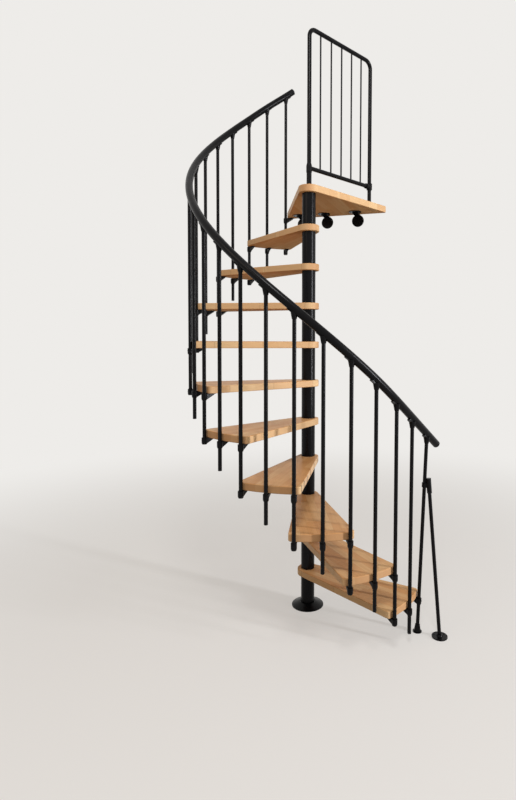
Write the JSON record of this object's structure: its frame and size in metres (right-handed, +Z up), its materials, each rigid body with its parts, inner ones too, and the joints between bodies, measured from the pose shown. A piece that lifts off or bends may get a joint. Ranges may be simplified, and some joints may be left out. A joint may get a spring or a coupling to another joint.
{
  "type": "spiral staircase",
  "caption": "Spiral staircase with wooden wedge treads round a steel pole, slim balusters, a helical handrail and a guarded wooden landing.",
  "frame": {"origin": "floor level on the pole's axis, at the centre of the base plate's underside", "axes": "+Z up along the pole; +Y from the pole towards the upper floor, square to the landing's far edge; +X along that edge"},
  "size_m": [1.5566, 1.3451, 3.4635],
  "materials": {
    "tread_wood": "satin varnish",
    "black_coat": "satin powder coat",
    "black_plastic": "fine moulded grain"
  },
  "bodies": {
    "root": {"tread_01": "tread_wood", "tread_02": "tread_wood", "tread_03": "tread_wood", "tread_04": "tread_wood", "tread_05": "tread_wood", "tread_06": "tread_wood", "tread_07": "tread_wood", "tread_08": "tread_wood", "tread_09": "tread_wood", "tread_10": "tread_wood", "landing_board": "tread_wood", "base_plate": "black_coat", "base_cover": "black_coat", "pole_core": "black_coat", "pole_sleeves": "black_coat", "balusters_01": "black_coat", "balusters_02": "black_coat", "balusters_03": "black_coat", "balusters_04": "black_coat", "balusters_05": "black_coat", "balusters_06": "black_coat", "balusters_07": "black_coat", "balusters_08": "black_coat", "balusters_09": "black_coat", "balusters_10": "black_coat", "brackets_01": "black_coat", "brackets_02": "black_coat", "brackets_03": "black_coat", "brackets_04": "black_coat", "brackets_05": "black_coat", "brackets_06": "black_coat", "brackets_07": "black_coat", "brackets_08": "black_coat", "brackets_09": "black_coat", "brackets_10": "black_coat", "handrail": "black_coat", "handrail_saddles": "black_coat", "floor_feet": "black_coat", "strut": "black_coat", "strut_clamp": "black_coat", "guard_fittings": "black_coat", "guard_frame": "black_coat", "guard_bars": "black_coat", "landing_brackets": "black_coat", "handrail_caps": "black_plastic"}
  },
  "joints": []
}
